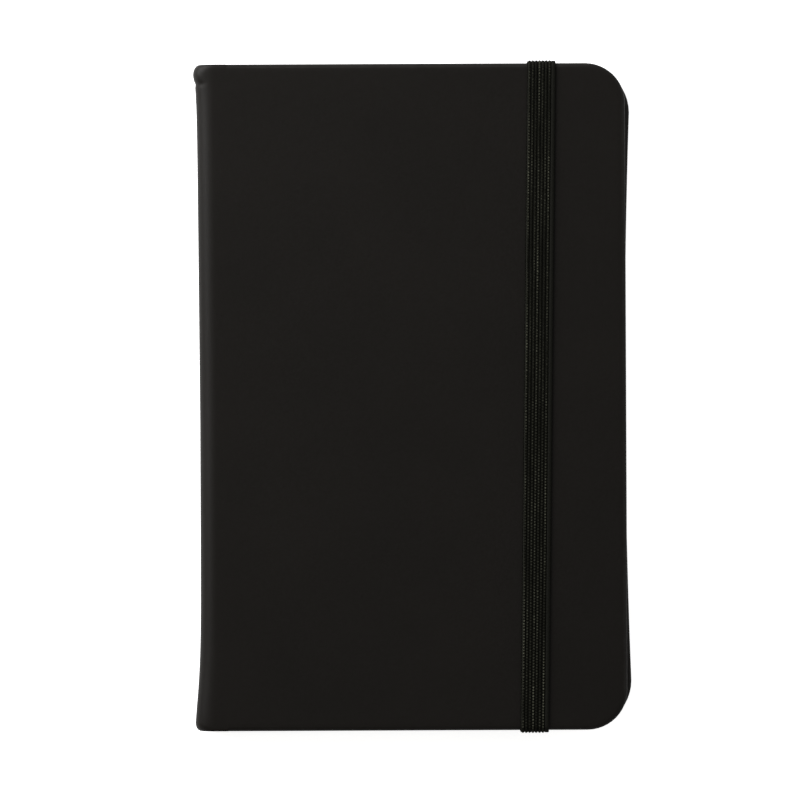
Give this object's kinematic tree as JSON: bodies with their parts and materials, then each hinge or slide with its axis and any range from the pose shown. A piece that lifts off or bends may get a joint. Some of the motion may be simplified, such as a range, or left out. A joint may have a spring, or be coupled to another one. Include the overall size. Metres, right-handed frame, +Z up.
{
  "type": "pocket notebook",
  "caption": "Pocket-size hard-cover notebook, case-bound and thread-sewn, with rounded fore-edge corners and a flat elastic closure band; the front cover opens and the first leaves turn with it.",
  "frame": {"origin": "middle of the closed notebook's bounding box, on the outer face of the back cover", "axes": "+Z up through the book from back cover to front cover, +Y towards the head (the top of the page), +X from the spine towards the fore edge"},
  "size_m": [0.09, 0.1414, 0.0154],
  "materials": {
    "cover_leather": "matte black imitation leather, very fine smooth grain",
    "grey_board": "matte grey board",
    "endpaper": "matte ivory endpaper",
    "page_paper": "matte ivory writing paper",
    "kraft_paper": "matte brown kraft paper",
    "mull": "open cotton cloth, stiffened with glue",
    "end_band_cloth": "woven black cotton",
    "linen_thread": "waxed linen thread",
    "elastic": "black ribbed woven elastic"
  },
  "bodies": {
    "book_block": {"back_cover_skin": "cover_leather", "back_board": "grey_board", "back_pastedown": "endpaper", "back_flyleaf": "endpaper", "spine_leather": "cover_leather", "spine_stiffener": "grey_board", "spine_lining": "kraft_paper", "mull_cloth": "mull", "headband": "end_band_cloth", "tailband": "end_band_cloth", "sewing_thread": "linen_thread", "signature_01": "page_paper", "signature_02": "page_paper", "signature_03": "page_paper", "signature_04": "page_paper", "signature_05": "page_paper", "signature_06": "page_paper", "signature_07": "page_paper", "signature_08": "page_paper", "signature_09": "page_paper", "signature_10": "page_paper", "signature_11": "page_paper", "signature_12": "page_paper", "band_end_head": "elastic", "band_end_tail": "elastic"},
    "front_joint": {"front_joint_leather": "cover_leather"},
    "front_cover": {"front_cover_skin": "cover_leather", "front_board": "grey_board", "front_pastedown": "endpaper"},
    "front_flyleaf": {"front_flyleaf": "endpaper"},
    "leaf_1": {"leaf_1": "page_paper"},
    "leaf_2": {"leaf_2": "page_paper"},
    "leaf_3": {"leaf_3": "page_paper"},
    "leaf_4": {"leaf_4": "page_paper"},
    "elastic_band": {"elastic_band": "elastic"}
  },
  "joints": [
    {"name": "front_joint_fold", "type": "hinge", "parent": "book_block", "child": "front_joint", "pos_m": [-0.0432, 0, 0.01235], "axis": [0, -1, 0], "range_deg": [0, 93], "deforming": ["front_joint_leather"]},
    {"name": "front_cover_hinge", "type": "hinge", "parent": "front_joint", "child": "front_cover", "pos_m": [-0.0432, 0, 0.01235], "axis": [0, -1, 0], "range_deg": [0, 93]},
    {"name": "front_flyleaf_hinge", "type": "hinge", "parent": "book_block", "child": "front_flyleaf", "pos_m": [-0.0432, 0, 0.01235], "axis": [0, -1, 0], "range_deg": [0, 178.1]},
    {"name": "leaf_1_hinge", "type": "hinge", "parent": "book_block", "child": "leaf_1", "pos_m": [-0.0432, 0, 0.01235], "axis": [0, -1, 0], "range_deg": [0, 177.3]},
    {"name": "leaf_2_hinge", "type": "hinge", "parent": "book_block", "child": "leaf_2", "pos_m": [-0.0432, 0, 0.01235], "axis": [0, -1, 0], "range_deg": [0, 176.6]},
    {"name": "leaf_3_hinge", "type": "hinge", "parent": "book_block", "child": "leaf_3", "pos_m": [-0.0432, 0, 0.01235], "axis": [0, -1, 0], "range_deg": [0, 175.6]},
    {"name": "leaf_4_hinge", "type": "hinge", "parent": "book_block", "child": "leaf_4", "pos_m": [-0.0432, 0, 0.01235], "axis": [0, -1, 0], "range_deg": [0, 174.5]},
    {"name": "elastic_band_swing", "type": "hinge", "parent": "book_block", "child": "elastic_band", "pos_m": [0.0258, 0, 0], "axis": [0, 1, 0], "range_deg": [0, 180], "deforming": ["elastic_band"]}
  ],
  "couplings": [
    {"joint": "front_joint_fold", "follows": "front_cover_hinge", "ratio": 1},
    {"joint": "front_flyleaf_hinge", "follows": "front_cover_hinge", "ratio": 1.914},
    {"joint": "leaf_1_hinge", "follows": "front_cover_hinge", "ratio": 1.906},
    {"joint": "leaf_2_hinge", "follows": "front_cover_hinge", "ratio": 1.898},
    {"joint": "leaf_3_hinge", "follows": "front_cover_hinge", "ratio": 1.888},
    {"joint": "leaf_4_hinge", "follows": "front_cover_hinge", "ratio": 1.876},
    {"joint": "elastic_band_swing", "follows": "front_cover_hinge", "ratio": 1.934}
  ]
}
